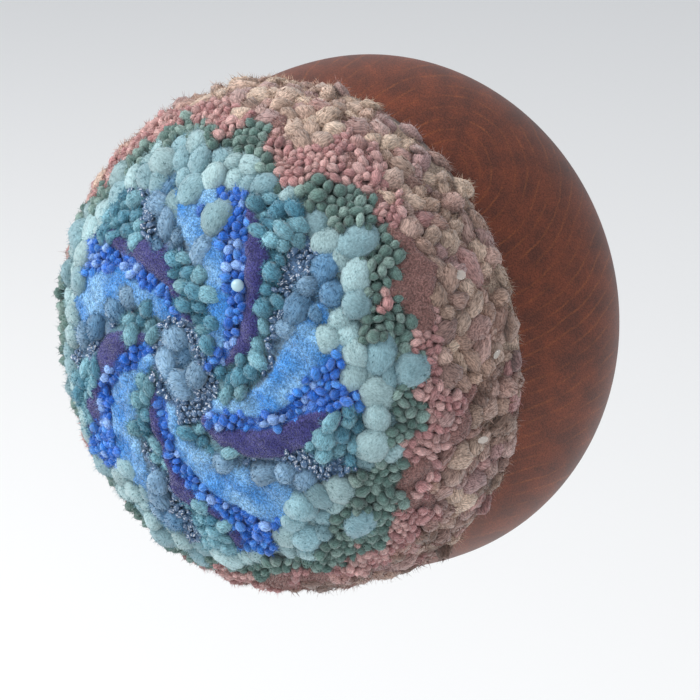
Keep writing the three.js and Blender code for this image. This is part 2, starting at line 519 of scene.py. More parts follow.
def spread(tree, noise, low, high):
    """A value between low and high, by how far a noise output lies from its mean."""
    return ramp(tree, noise, 0.5 - NOISE_SPREAD, 0.5 + NOISE_SPREAD, low, high)


def mixed(tree, factor, first, second):
    """The first colour mixed with the second by a factor. The first is a colour or a node's output."""
    made = node(tree, "ShaderNodeMix", data_type="RGBA")
    if isinstance(first, bpy.types.NodeSocket):
        tree.links.new(first, made.inputs[MIX_FIRST])
    else:
        made.inputs[MIX_FIRST].default_value = (*first, 1)
    made.inputs[MIX_SECOND].default_value = (*second, 1)
    tree.links.new(factor, made.inputs[MIX_FACTOR])
    return made.outputs[MIX_RESULT]


def fibre_noise(tree, strands, size, length):
    """Noise that draws out fibres: size across and length along them. It reads the strand attribute,
    or the object's own coordinates where a piece has no strands."""
    mapping = node(tree, "ShaderNodeMapping", Scale=(1 / length, 1 / size, 1 / size))
    noise = node(tree, "ShaderNodeTexNoise", Scale=1.0, Detail=2.0)
    if strands:
        place = node(tree, "ShaderNodeAttribute", attribute_name="strand").outputs["Vector"]
    else:
        place = node(tree, "ShaderNodeTexCoord").outputs["Object"]
    tree.links.new(place, mapping.inputs["Vector"])
    tree.links.new(mapping.outputs["Vector"], noise.inputs["Vector"])
    return noise.outputs["Fac"]


def scaled_tint(tree, factors):
    """The tint attribute times every factor."""
    colour = node(tree, "ShaderNodeAttribute", attribute_name="tint").outputs["Color"]
    for factor in factors:
        scale = node(tree, "ShaderNodeVectorMath", operation="SCALE")
        tree.links.new(colour, scale.inputs[0])
        tree.links.new(factor, scale.inputs["Scale"])
        colour = scale.outputs[0]
    return colour


def wool_material(name, strands, size, length, contrast, bump=0.35 * MM):
    """Matt wool: the tint attribute, streaked by noise along the fibres and clouded by a slower one,
    with a bump of the same streaks and a soft sheen."""
    material, tree, shader = new_material(name)
    fine = fibre_noise(tree, strands, size, length)
    slow = fibre_noise(tree, False, 5 * MM, 5 * MM)
    colour = scaled_tint(tree, [
        spread(tree, fine, 1 - contrast, 1 + contrast), spread(tree, slow, 0.9, 1.1),
    ])
    tree.links.new(colour, shader.inputs["Base Color"])
    relief = node(tree, "ShaderNodeBump", Strength=1.0, Distance=bump)
    tree.links.new(fine, relief.inputs["Height"])
    tree.links.new(relief.outputs["Normal"], shader.inputs["Normal"])
    shader.inputs["Roughness"].default_value = 0.95
    shader.inputs["Specular IOR Level"].default_value = 0.1
    shader.inputs["Sheen Weight"].default_value = 0.35
    shader.inputs["Sheen Roughness"].default_value = 0.6
    return material


def hair_material(name):
    """Loose fibres: the tint attribute alone, matt."""
    material, tree, shader = new_material(name)
    tree.links.new(scaled_tint(tree, []), shader.inputs["Base Color"])
    shader.inputs["Roughness"].default_value = 0.9
    shader.inputs["Specular IOR Level"].default_value = 0.1
    return material


def sparkle_material(name, glint):
    """Smooth wrapped yarn with a real bright thread and painted glints: pale where a fine noise peaks."""
    material, tree, shader = new_material(name)
    fine = fibre_noise(tree, True, 0.45 * MM, 0.8 * MM)
    flash = ramp(tree, fine, 0.56, 0.66)
    ground = scaled_tint(tree, [spread(tree, fine, 0.75, 1.2)])
    tree.links.new(mixed(tree, flash, ground, glint), shader.inputs["Base Color"])
    shader.inputs["Roughness"].default_value = 0.4
    return material


# Settings

def colour_setting(name, description, default):
    """A colour property whose default is given as display values."""
    return bpy.props.FloatVectorProperty(
        name=name, description=description, default=srgb(*default), subtype="COLOR", size=3, min=0, max=1,
    )


def length_setting(name, description, default):
    """A length property in metres, with its default in millimetres."""
    return bpy.props.FloatProperty(
        name=name, description=description, default=default * MM, min=0, unit="LENGTH", subtype="DISTANCE",
    )


class WoolBowlSettings(bpy.types.PropertyGroup):
    """Sizes and colours of the wood."""

    ring_gap: length_setting("Ring gap", "Distance between growth rings", 3.4)
    heart: colour_setting("Heart", "Main colour of the wood", (114, 57, 37))
    dark: colour_setting("Dark", "Dark streaks of the wood", (76, 41, 32))
    line: colour_setting("Line", "Thin bright growth lines", (146, 82, 46))


class WoolPileSettings(bpy.types.PropertyGroup):
    """Sizes and colours of the wool."""

    edge_tuft: length_setting("Edge tuft", "Spacing of the long tufts at the edge", 5.6)
    soft_tuft: length_setting("Soft tuft", "Spacing of the felted tufts", 7.0)
    small_loop: length_setting("Small loop", "Spacing of the smallest loops", 2.7)
    large_loop: length_setting("Large loop", "Spacing of the pea-sized loops", 3.3)
    long_loop: length_setting("Long loop", "Spacing of the long loops", 4.5)
    sparkle_loop: length_setting("Sparkle loop", "Spacing of the sparkle yarn's loops", 2.05)
    hair: length_setting("Hair", "Longest loose hairs of the edge tufts", 3.2)
    cream: colour_setting("Cream", "Lightest edge tufts", (194, 172, 154))
    taupe: colour_setting("Taupe", "Middle edge tufts", (154, 127, 112))
    umber: colour_setting("Umber", "Darkest edge tufts", (112, 90, 80))
    mauve: colour_setting("Mauve", "Mauve grey edge tufts", (158, 128, 128))
    rose: colour_setting("Rose", "Looped rose yarn", (166, 120, 120))
    rose_light: colour_setting("Light rose", "Lighter strands of the rose yarn", (190, 152, 148))
    rust: colour_setting("Rust rose", "Sheared rust rose pile", (138, 102, 97))
    green: colour_setting("Green", "Pea loops", (84, 112, 106))
    green_light: colour_setting("Light green", "Lighter pea loops", (124, 148, 142))
    aqua: colour_setting("Aqua", "Felted aqua tufts", (118, 152, 162))
    aqua_light: colour_setting("Light aqua", "Lighter felted tufts", (150, 178, 182))
    teal: colour_setting("Teal", "Long teal loops", (74, 128, 150))
    cobalt: colour_setting("Cobalt", "Small cobalt loops", (20, 96, 192))
    cobalt_light: colour_setting("Light cobalt", "Lighter cobalt loops", (62, 136, 216))
    sky: colour_setting("Sky", "Sky blue fluff", (64, 138, 208))
    sky_light: colour_setting("Light sky", "Palest blue fluff", (132, 182, 222))
    teal_light: colour_setting("Light teal", "Paler long loops", (112, 158, 172))
    # Painted highlight: a share of the cobalt loops is tinted pale to stand for glints of light on them
    cobalt_highlight: colour_setting("Pale cobalt", "Palest cobalt loops", (150, 184, 230))
    navy: colour_setting("Navy", "Sheared navy pile", (60, 60, 122))
    slate: colour_setting("Slate", "Slate tufts", (84, 126, 160))
    slate_light: colour_setting("Light slate", "Lighter slate tufts", (118, 150, 176))
    steel: colour_setting("Steel", "Ground of the sparkle yarn", (74, 104, 138))
    # Painted glint: pale colour standing for the light off the sparkle yarn's real metallic thread
    glint: colour_setting("Glint", "Bright thread of the sparkle yarn", (222, 226, 232))


class WoolStageSettings(bpy.types.PropertyGroup):
    """Camera, room light and floor."""

    azimuth: bpy.props.FloatProperty(
        name="Azimuth", description="Camera's turn to the right of the front", default=math.radians(37.9),
        subtype="ANGLE", unit="ROTATION",
    )
    elevation: bpy.props.FloatProperty(
        name="Elevation", description="Camera's height above the level", default=math.radians(13.8),
        subtype="ANGLE", unit="ROTATION",
    )
    distance: length_setting("Distance", "From the camera to the bowl's widest ring", 950)
    floor_drop: length_setting("Floor drop", "From the bowl's axis down to the floor", 260)
    room_light: bpy.props.FloatProperty(
        name="Room light", description="Strength of the even light from all round", default=0.66, min=0,
    )


# Wood

# Direction of the tree's heart, and the place in metres, under the wool's edge, where it leaves the bowl
GRAIN_AXIS = (0.60, -0.76, 0.24)
GRAIN_CENTRE = (0.045, -0.082, 0.052)


def bowl_section():
    """Closed section of the bowl from the foot's middle round the outside, lip and hollow to the axis."""
    ring, half, lip = lip_ring()
    inner = BELLY_RADIUS - WALL_THICKNESS
    inner_reach = FRONT_REACH - WALL_THICKNESS
    foot_turn = -math.asin(BELLY_FROM_FOOT / REAR_REACH)
    belly = (0, BELLY_FROM_FOOT)
    return np.concatenate([
        ellipse(belly, (BELLY_RADIUS, REAR_REACH), foot_turn, 0, 36),
        ellipse(belly, (BELLY_RADIUS, FRONT_REACH), 0, math.asin(LIP_START / FRONT_REACH), 12)[1:],
        ellipse((ring, lip), (half, LIP_HEIGHT), 0, math.pi, 10)[1:-1],
        ellipse(belly, (inner, inner_reach), math.asin(LIP_START / inner_reach), 0, 4),
        ellipse(belly, (inner, BELLY_FROM_FOOT - FOOT_THICKNESS), 0, -math.pi / 2, 8)[1:-1],
    ])


def lathe(section, around):
    """Surface of revolution about the bowl's axis: the section's radius turned round, closed by a fan of
    triangles at each end."""
    turn = np.arange(around) * 2 * math.pi / around
    rows = len(section)
    radius, forward = section[:, 0], section[:, 1]
    ring = np.stack([
        np.outer(radius, np.cos(turn)),
        np.repeat(-forward[:, None], around, axis=1),
        np.outer(radius, np.sin(turn)),
    ], axis=-1).reshape(-1, 3)
    ends = np.array([[0, -forward[0], 0], [0, -FOOT_THICKNESS, 0]])
    row = np.arange(rows - 1)[:, None] * around
    column = np.arange(around)[None]
    after = (column + 1) % around
    quads = np.stack([row + column, row + after, row + around + after, row + around + column], axis=-1)
    first, last, base = len(ring), len(ring) + 1, (rows - 1) * around
    start_fan = np.stack([column[0], np.full(around, first), after[0]], axis=-1)
    end_fan = np.stack([base + after[0], np.full(around, last), base + column[0]], axis=-1)
    return np.concatenate([ring, ends]), quads.reshape(-1, 4), np.concatenate([start_fan, end_fan])


def wood_material(settings):
    """Satin red-brown wood: growth rings round a leaning axis that leaves the bowl near the lip, each
    with a thin bright line that comes and goes, and fine pores drawn out along the grain."""
    material, tree, shader = new_material("turned_wood")
    link = tree.links.new
    grain = Vector(GRAIN_AXIS).normalized().rotation_difference(Vector((0, 0, 1)))
    place = node(tree, "ShaderNodeTexCoord")
    mapping = node(tree, "ShaderNodeMapping")
    mapping.inputs["Rotation"].default_value = grain.to_euler()
    mapping.inputs["Location"].default_value = -(grain.to_matrix() @ Vector(GRAIN_CENTRE))
    link(place.outputs["Object"], mapping.inputs["Vector"])

    def grain_noise(size, stretch, detail):
        drawn = node(tree, "ShaderNodeMapping", Scale=(1 / size, 1 / size, 1 / (stretch * size)))
        noise = node(tree, "ShaderNodeTexNoise", Scale=1.0, Detail=detail)
        link(mapping.outputs["Vector"], drawn.inputs["Vector"])
        link(drawn.outputs["Vector"], noise.inputs["Vector"])
        return noise.outputs["Fac"]

    bands = node(tree, "ShaderNodeTexWave", wave_type="RINGS", rings_direction="Z")
    # At scale one, the ring wave turns through 20 radians in each unit of length
    waves_per_unit = 20 / (2 * math.pi)
    bands.inputs["Scale"].default_value = 1 / (settings.ring_gap * waves_per_unit)
    bands.inputs["Distortion"].default_value = 3.0
    bands.inputs["Detail"].default_value = 2.0
    bands.inputs["Detail Scale"].default_value = 0.55
    link(mapping.outputs["Vector"], bands.inputs["Vector"])
    line_share = node(tree, "ShaderNodeMath", operation="MULTIPLY")
    link(ramp(tree, bands.outputs["Fac"], 0.9, 1.0), line_share.inputs[0])
    link(spread(tree, grain_noise(9 * MM, 3, 2.0), 0.0, 0.46), line_share.inputs[1])
    streaks = spread(tree, grain_noise(7 * MM, 4, 4.0), 0.3, 1.0)
    base = mixed(tree, streaks, settings.dark, settings.heart)
    lined = mixed(tree, line_share.outputs[0], base, settings.line)
    pores = grain_noise(0.4 * MM, 3, 2.0)
    darkened = node(tree, "ShaderNodeVectorMath", operation="SCALE")
    link(lined, darkened.inputs[0])
    link(spread(tree, pores, 0.66, 1.26), darkened.inputs["Scale"])
    link(darkened.outputs[0], shader.inputs["Base Color"])
    relief = node(tree, "ShaderNodeBump", Strength=0.3, Distance=0.08 * MM)
    link(pores, relief.inputs["Height"])
    link(relief.outputs["Normal"], shader.inputs["Normal"])
    shader.inputs["Roughness"].default_value = 0.46
    shader.inputs["Specular IOR Level"].default_value = 0.3
    return material


class WOOL_OT_turn_bowl(bpy.types.Operator):
    """Turns the wooden bowl on its section"""

    bl_idname = "wool.turn_bowl"
    bl_label = "Turn the bowl"

    def execute(self, context):
        points, quads, triangles = lathe(bowl_section(), 240)
        piece = build_mesh("turned_bowl", points, quads, triangles)
        finish_piece(piece, wood_material(context.scene.wool_bowl))
        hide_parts("bowl")
        return {"FINISHED"}


# Ground cloth and sheared pile

def disc_grid(count):
    """Points of a square grid bent into a unit disc, so that its cells stay even and it has no pole.

    The larger of the two grid coordinates gives the radius, and their ratio gives the turn.
    """
    line = np.linspace(-1, 1, count + 1)
    across, up = np.meshgrid(line, line, indexing="xy")
    wide = np.abs(across) > np.abs(up)
    safe_across = np.where(np.abs(across) < 1e-12, 1e-12, across)
    safe_up = np.where(np.abs(up) < 1e-12, 1e-12, up)
    radius = np.where(wide, across, up)
    turn = np.where(wide, math.pi / 4 * up / safe_across, math.pi / 2 - math.pi / 4 * across / safe_up)
    return radius * np.cos(turn), radius * np.sin(turn)


def ground_heights(size, cell):
    """Depth of the ground under the pile's reach on a square map of the flattened dome, in metres.

    Each yarn's depth is spread over its patch and softened by a round blur, so that raised patches get
    rolled edges.
    """
    line = (np.arange(size) - size / 2 + 0.5) * cell
    x, y = np.meshgrid(line, line, indexing="xy")
    depth = np.array([GROUND_DEPTH[name] for name in YARNS])[yarn_at(x, y)]
    frequency = np.fft.fftfreq(size, cell)
    soften = np.exp(-2 * (math.pi * MAP_BLUR) ** 2 * (frequency[:, None] ** 2 + frequency[None] ** 2))
    return np.real(np.fft.ifft2(np.fft.fft2(depth) * soften)) * MM


def sample_map(values, cell, x, y):
    """Values of a square map at points in millimetres, mixed from the four nearest cells."""
    size = len(values)
    column = np.clip(x / cell + size / 2 - 0.5, 0, size - 1.001)
    row = np.clip(y / cell + size / 2 - 0.5, 0, size - 1.001)
    left, low = column.astype(int), row.astype(int)
    right_share, high_share = column - left, row - low
    lower = values[low, left] * (1 - right_share) + values[low, left + 1] * right_share
    upper = values[low + 1, left] * (1 - right_share) + values[low + 1, left + 1] * right_share
    return lower * (1 - high_share) + upper * high_share


# Map of the ground's depth: side of a cell and reach of the blur in millimetres, cells on a side with a
# margin, and the depths themselves
MAP_CELL = 0.5
MAP_BLUR = 1.0
MAP_SIZE = 2 * int(REACH / MM / MAP_CELL) + 12
DEPTH_MAP = ground_heights(MAP_SIZE, MAP_CELL)
# Cells on a side of the ground's grid, how far from the edge the depth starts to fade, and the brightness
# of the hidden base and of the ground under loops, both painted shade
GROUND_CELLS = 204
DEPTH_FADE = 14 * MM
BASE_PAINTED_SHADE = 0.6
UNDER_LOOPS_PAINTED_SHADE = 0.7


def ground_lift(arc, turn):
    """Height of the ground relative to the pile's reach: minus the mapped depth, fading to nothing at
    the edge, with a fine unevenness."""
    x, y = arc / MM * np.cos(turn), arc / MM * np.sin(turn)
    depth = sample_map(DEPTH_MAP, MAP_CELL, x, y)
    uneven = 0.45 * MM * wave_noise(x, y, 11, 8) + 0.16 * MM * wave_noise(x, y, 12, 2.8)
    fade = np.clip((REACH - arc) / DEPTH_FADE, 0, 1)
    return (uneven - depth) * fade


def yarn_colours(pile):
    """The colours of each yarn, in the order of the yarn numbers."""
    return {
        "edge": [pile.cream, pile.taupe, pile.umber, pile.mauve],
        "rose": [pile.rose, pile.rose_light],
        "rust": [pile.rust],
        "green": [pile.green, pile.green, pile.green_light],
        "aqua": [pile.aqua, pile.aqua_light],
        "teal": [pile.teal, pile.teal_light],
        # The palest cobalt is a painted highlight
        "cobalt": [pile.cobalt, pile.cobalt, pile.cobalt, pile.cobalt_light, pile.cobalt_highlight],
        "sky": [pile.sky, pile.sky_light],
        "navy": [pile.navy],
        "slate": [pile.slate, pile.slate_light],
        "sparkle": [pile.steel],
    }


def ground_tints(pile, arc, turn):
    """Colour of the ground at each point: its yarn's first colour, shaded towards the second by noise,
    and darker where thick loops or tufts stand on it, as painted shade."""
    x, y = arc / MM * np.cos(turn), arc / MM * np.sin(turn)
    yarn = yarn_at(x, y)
    colours = yarn_colours(pile)
    first = np.array([colours[name][0] for name in YARNS])[yarn]
    second = np.array([colours[name][min(1, len(colours[name]) - 1)] for name in YARNS])[yarn]
    share = np.clip(0.5 + 0.5 * wave_noise(x, y, 21, 12), 0, 1)[:, None]
    # Painted shade: the ground under thick loops and tufts is darkened
    shade = np.array([
        1.0 if name in ("rust", "navy", "sky", "sparkle") else UNDER_LOOPS_PAINTED_SHADE for name in YARNS
    ])[yarn][:, None]
    return (first * (1 - share) + second * share) * shade


def seat_rings():
    """Section of the hidden base, from the wool's edge over the lip into the mouth: radius and distance
    from the foot for each ring."""
    ring, half, lip = lip_ring()
    half, height = half + MOUTH_GAP, LIP_HEIGHT + MOUTH_GAP
    over = ellipse((ring, lip), (half, height), math.pi / 5, math.pi, 6)
    base = [[ring - half, lip - PLUG_DEPTH], [(ring - half) / 2, lip - PLUG_DEPTH]]
    return np.concatenate([over, base])


def ground_surface(cells):
    """Closed surface of the ground, and the arc and turn of the points on its upper side.

    The upper side is the disc grid laid over the dome at the ground's height. From its rim, rings follow
    the hidden base over the lip into the mouth, and a fan closes the last one.
    """
    across, up = disc_grid(cells)
    arc = REACH * np.hypot(across, up).ravel()
    turn = np.arctan2(up, across).ravel()
    top, _, _, _ = on_dome(arc, turn, ground_lift(arc, turn))
    row, column = np.meshgrid(np.arange(cells), np.arange(cells), indexing="ij")
    first = row * (cells + 1) + column
    quads = np.stack([first, first + 1, first + cells + 2, first + cells + 1], axis=-1).reshape(-1, 4)
    side = np.arange(cells + 1)
    rim = np.concatenate([
        side[:-1],
        side[:-1] * (cells + 1) + cells,
        (cells * (cells + 1) + side[1:])[::-1],
        (side[1:] * (cells + 1))[::-1],
    ])
    rings = seat_rings()
    under = np.stack([
        rings[:, :1] * np.cos(turn[rim])[None],
        np.repeat(-rings[:, 1:], len(rim), axis=1),
        rings[:, :1] * np.sin(turn[rim])[None],
    ], axis=-1)
    middle = np.array([[0, -rings[-1, 1], 0]])
    points = np.concatenate([top, under.reshape(-1, 3), middle])
    hidden = len(top) + np.arange(len(rings) * len(rim)).reshape(len(rings), len(rim))
    index = np.concatenate([rim[None], hidden])
    following = np.roll(index, -1, axis=1)
    skirt = np.stack([index[:-1], index[1:], following[1:], following[:-1]], axis=-1).reshape(-1, 4)
    fan = np.stack([index[-1], np.full(len(rim), len(points) - 1), following[-1]], axis=-1)
    return points, np.concatenate([quads, skirt]), fan, arc, turn


class WOOL_OT_lay_ground(bpy.types.Operator):
    """Lays the ground cloth with its sheared pile over the dome and closes it in the bowl's mouth"""

    bl_idname = "wool.lay_ground"
    bl_label = "Lay the ground"

    def execute(self, context):
        pile = context.scene.wool_pile
        points, quads, fan, arc, turn = ground_surface(GROUND_CELLS)
        # Painted shade: the hidden base over the lip and in the mouth is the taupe darkened
        hidden_painted_shade_tint = BASE_PAINTED_SHADE * np.array(pile.taupe)
        tint = np.concatenate([
            ground_tints(pile, arc, turn),
            np.repeat([hidden_painted_shade_tint], len(points) - len(arc), axis=0),
        ])
        piece = build_mesh("ground_cloth", points, quads, fan, tint)
        material = wool_material("sheared_wool", False, 0.5 * MM, 0.5 * MM, 0.42, 0.5 * MM)
        finish_piece(piece, material)
        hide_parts("tufted_dome")
        return {"FINISHED"}


# Loops and tufts

class Style(NamedTuple):
    """How one yarn's loops or tufts look, with lengths in millimetres."""

    spacing: str  # the setting that holds the spacing
    half: tuple  # half sizes along, across and up
    depth: float  # of the centre under the pile's reach
    lumps: float  # height of the lumps, as a share of the size
    bend: float  # sag of the two ends
    grid: tuple  # faces round and along
    hairs: int  # number of loose hairs
    hair: float  # length of the loose hairs
    lay: float  # how far the headings spread, in radians


STYLES = {
    "edge": Style("edge_tuft", (4.9, 3.2, 3.1), 3.9, 0.11, 0.5, (12, 7), 30000, 2.8, math.pi),
    "rose": Style("small_loop", (1.9, 1.25, 1.5), 1.8, 0.07, 0.4, (8, 5), 14000, 1.8, math.pi),
    "green": Style("large_loop", (2.0, 1.6, 1.9), 2.0, 0.06, 0.3, (8, 6), 11000, 1.8, math.pi),
    "cobalt": Style("small_loop", (1.65, 1.3, 1.5), 1.8, 0.06, 0.3, (8, 5), 9000, 1.8, math.pi),
    "teal": Style("long_loop", (3.5, 2.25, 2.3), 2.2, 0.06, 0.4, (10, 6), 16000, 2.0, 0.4),
    "sparkle": Style("sparkle_loop", (1.3, 0.9, 1.0), 2.7, 0.05, 0.3, (7, 5), 800, 0.8, math.pi),
    "aqua": Style("soft_tuft", (5.0, 4.4, 2.9), 2.9, 0.06, 0.25, (12, 7), 18000, 1.9, math.pi),
    "slate": Style("soft_tuft", (4.8, 3.7, 2.8), 3.0, 0.06, 0.25, (12, 7), 11000, 2.2, math.pi),
}
# Fibre streaks of the plain and of the softer yarns: width and length in millimetres, and contrast
PLAIN_STREAKS = (0.32, 1.3, 0.34)
SOFT_STREAKS = {"edge": (0.4, 1.7, 0.42), "aqua": (0.45, 0.8, 0.17), "slate": (0.5, 1.6, 0.24)}
# Packing: closeness of the first rows, and how far from a place its yarn is read, which mingles the
# borders of the patches, both as shares of the spacing; the rounds of pushing apart; the share of each
# overlap that a place moves in one round; and the bare rim
CROWDING = 0.93
STRAY = 0.25
PUSHES = 26
PUSH_SHARE = 0.28
RIM_MARGIN = 1.2 * MM
# Lean of each copy, and spread of its size
TILT = 0.16
SIZE_SPREAD = 0.12
# Unevenness of the pile, and the zone at the lip, where tufts lie higher, flatter and further out over it
UNEVEN_LIFT = 0.4 * MM
CLUMP_RISE = 0.75 * MM
LIP_ZONE_START = 12 * MM
LIP_ZONE_LENGTH = 10 * MM
LIP_RISE = 0.4
LIP_FLATTENING = 0.35
LIP_LAP = 1.3 * MM
# Loose fibres: numbers, widths, and how deep they are rooted in their tuft
WISPS = 7000
LOCKS = 13000
HAIR_WIDTH = 0.19 * MM
WISP_WIDTH = 0.15 * MM
LOCK_WIDTH = 0.42 * MM
NAP_WIDTH = 0.17 * MM
HAIR_ROOT = 0.12 * MM
WISP_ROOT = 0.1 * MM
LOCK_ROOT = 0.15 * MM
# Nap: spacing, and longest fibre of the sheared and of the fluffy patches
NAP_SPACING = 0.58 * MM
SHEARED_LENGTH = 1.1 * MM
FLUFFY_LENGTH = 1.9 * MM
# Arc length in millimetres, turn in radians and lift in millimetres of each sewn-on bead
SEQUINS = [(90.0, 0.42, 0.6), (97.0, 0.10, 0.5), (93.0, -0.22, 0.6), (99.0, -1.35, 0.4)]
PEARLS = [(33.0, 0.95, 0.2)]


def pack_places(pile):
    """Places of every loop and tuft: arc, turn and yarn number.

    Each yarn starts in rows on its own patches, a little too close. Then every pair that is nearer than
    the two half spacings is pushed apart along the dome, over and over, until the pile is even.
    """
    rng = np.random.default_rng(5)
    rows = []
    for kind, style in STYLES.items():
        spacing = getattr(pile, style.spacing)
        arc, turn = rows_on_dome(CROWDING * spacing, 0.2, rng)
        stray = STRAY * spacing * rng.normal(size=(2, len(arc)))
        own = yarn_on(arc + stray[0], turn + stray[1] / (arc + spacing)) == YARN[kind]
        size = spacing / 2 * rng.uniform(0.74, 1.24, own.sum())
        rows.append(np.stack([arc[own], turn[own], np.full(own.sum(), YARN[kind]), size], axis=1))
    arc, turn, yarn, size = np.concatenate(rows).T
    room = size[:, None] + size[None]
    for _ in range(PUSHES):
        points, _, downhill, sideways = on_dome(arc, turn, 0.0)
        gap = points[:, None] - points[None]
        distance = np.linalg.norm(gap, axis=2)
        np.fill_diagonal(distance, 1.0)
        press = np.clip(room - distance, 0, None) / distance
        push = PUSH_SHARE * np.einsum("ij,ijk->ik", press, gap)
        radius = np.maximum(section_at(arc)[0], 2 * MM)
        arc = np.clip(np.abs(arc + np.sum(push * downhill, axis=1)), 0, REACH - RIM_MARGIN)
        turn = turn + np.sum(push * sideways, axis=1) / radius
    return arc, turn, yarn.astype(int), size


def place_kind(kind, places, rng):
    """Centres, axes and half sizes of one yarn's copies."""
    style = STYLES[kind]
    own = places[2] == YARN[kind]
    arc, turn, size = places[0][own], places[1][own], places[3][own]
    count = len(arc)
    near_lip = np.clip((arc - (REACH - LIP_ZONE_START)) / LIP_ZONE_LENGTH, 0, 1)
    lift = (LIP_RISE * near_lip - 1) * style.depth * MM + UNEVEN_LIFT * rng.normal(size=count)
    lift += CLUMP_RISE * wave_noise(arc / MM * np.cos(turn), arc / MM * np.sin(turn), 17, 13)
    centres, outward, downhill, sideways = on_dome(arc, turn, lift)
    centres[:, 1] += LIP_LAP * near_lip
    heading = math.pi / 2 + style.lay * rng.uniform(-1, 1, count)
    axes = turned_axes(outward, downhill, sideways, heading, TILT, rng)
    half = np.array(style.half) * MM * (1 + SIZE_SPREAD * rng.normal(size=(count, 3))).clip(0.75, 1.3)
    half *= (size / size.mean())[:, None]
    half[:, 2] *= 1 - LIP_FLATTENING * near_lip
    return centres, axes, half


def copies_piece(name, points, quads, caps, tints, strand, material):
    """One joined mesh of all copies of a shape."""
    count, stride = points.shape[:2]
    piece = build_mesh(
        name,
        points.reshape(-1, 3),
        join_faces(quads, count, stride),
        join_faces(caps, count, stride),
        tints.reshape(-1, 3),
        strand.reshape(-1, 3),
    )
    return finish_piece(piece, material)


def kind_tints(pile, kind, centres, rng):
    """A tint for each copy of a yarn. The edge tufts mix theirs in clumps, with a little rose, and get
    painted light and shade: more cream towards the top and more umber towards the bottom."""
    colours = yarn_colours(pile)[kind]
    if kind != "edge":
        return random_tints(colours, len(centres), rng)
    x, y, z = centres.T / MM
    around = np.arctan2(z, x) * WIDEST_RADIUS / MM
    clumps = np.stack([wave_noise(around, y, seed, 15) for seed in range(51, 56)], axis=1)
    clumps += 0.36 * rng.normal(size=clumps.shape)
    # Painted light and shade: more cream towards the top, more umber towards the bottom
    clumps[:, 0] += 0.9 * z * MM / WIDEST_RADIUS
    clumps[:, 2] -= 0.7 * z * MM / WIDEST_RADIUS
    clumps[:, 4] -= 0.35
    return blend_tints([*colours, pile.rose], np.exp(2.2 * clumps))


class WOOL_OT_pull_loops(bpy.types.Operator):
    """Pulls the looped, felted and fluffy yarns of every patch"""

    bl_idname = "wool.pull_loops"
    bl_label = "Pull the loops"

    def execute(self, context):
        pile = context.scene.wool_pile
        places = pack_places(pile)
        hairs = hair_material("loose_fibres")
        for number, (kind, style) in enumerate(STYLES.items()):
            rng = np.random.default_rng(100 + number)
            centres, axes, half = place_kind(kind, places, rng)
            shape, quads, caps = blob_shape(*style.grid)
            points, strand, shade = copies(shape, centres, axes, half, style.lumps, style.bend, rng)
            tints = kind_tints(pile, kind, centres, rng)
            if kind == "sparkle":
                material = sparkle_material("sparkle_yarn", pile.glint)
            else:
                size, length, contrast = SOFT_STREAKS.get(kind, PLAIN_STREAKS)
                material = wool_material(kind + "_wool", True, size * MM, length * MM, contrast)
            # Painted shade towards each copy's underside and painted light on its top, multiplied into its
            # tint
            least = TUFT_PAINTED_SHADE.get(kind, LOOP_PAINTED_SHADE)
            shaded = tints[:, None] * (least + (TOP_PAINTED_LIGHT - least) * shade[..., None])
            copies_piece(kind + "_pile", points, quads, caps, shaded, strand, material)
            add_hairs(kind, points, quads, shape, centres, axes, tints, hairs, rng)
            if kind == "edge":
                add_wisps(pile, points, quads, shape, centres, tints, hairs, rng)
                add_locks(pile, points, quads, shape, centres, axes, tints, hairs, rng)
        return {"FINISHED"}


def add_hairs(kind, points, quads, shape, centres, axes, tints, material, rng):
    """Loose fibres over a yarn's tufts; most lie along their tuft and the rest stand off it."""
    style = STYLES[kind]
    roots, outward, copy = roots_on_copies(points, quads, shape, centres, style.hairs, rng)
    count = len(roots)
    directions = fuzz_directions(outward, axes[copy, 0], 0.3, rng)
    lengths = style.hair * MM * rng.uniform(0.35, 1.15, count)
    widths = HAIR_WIDTH * rng.uniform(0.7, 1.2, count)
    colour = tints[copy] * rng.uniform(0.7, 1.55, (count, 1))
    spikes, faces, tint = straight_hairs(roots - outward * HAIR_ROOT, directions, lengths, widths, colour)
    piece = build_mesh(kind + "_hairs", spikes, np.zeros((0, 4), int), faces, tint)
    finish_piece(piece, material)


def add_wisps(pile, points, quads, shape, centres, tints, material, rng):
    """Long bent hairs that stand off the edge tufts and blur the outline."""
    roots, outward, copy = roots_on_copies(points, quads, shape, centres, WISPS, rng)
    directions = unit(outward + 0.6 * rng.normal(size=(WISPS, 3)))
    bends = 1.1 * rng.normal(size=(WISPS, 3))
    lengths = pile.hair * rng.uniform(0.3, 1.0, WISPS) ** 1.4
    widths = WISP_WIDTH * rng.uniform(0.7, 1.2, WISPS)
    colour = tints[copy] * rng.uniform(0.75, 1.4, (WISPS, 1))
    piece = build_mesh(
        "edge_wisps", *bent_hairs(roots - outward * WISP_ROOT, directions, bends, lengths, widths, colour),
    )
    finish_piece(piece, material)


def add_locks(pile, points, quads, shape, centres, axes, tints, material, rng):
    """Flat little locks of fibres that make the edge tufts shaggy; all of a tuft's locks are combed the
    same way."""
    roots, outward, copy = roots_on_copies(points, quads, shape, centres, LOCKS, rng)
    combed = axes[copy, 0] * rng.choice([-1.0, 1.0], (len(centres), 1))[copy]
    directions = unit(0.45 * outward + combed + 0.3 * rng.normal(size=(LOCKS, 3)))
    lengths = 0.9 * pile.hair * rng.uniform(0.4, 1.0, LOCKS)
    widths = LOCK_WIDTH * rng.uniform(0.6, 1.2, LOCKS)
    colour = tints[copy] * rng.uniform(0.68, 1.3, (LOCKS, 1))
    spikes, faces, tint = straight_hairs(roots - outward * LOCK_ROOT, directions, lengths, widths, colour)
    piece = build_mesh("edge_locks", spikes, np.zeros((0, 4), int), faces, tint)
    finish_piece(piece, material)


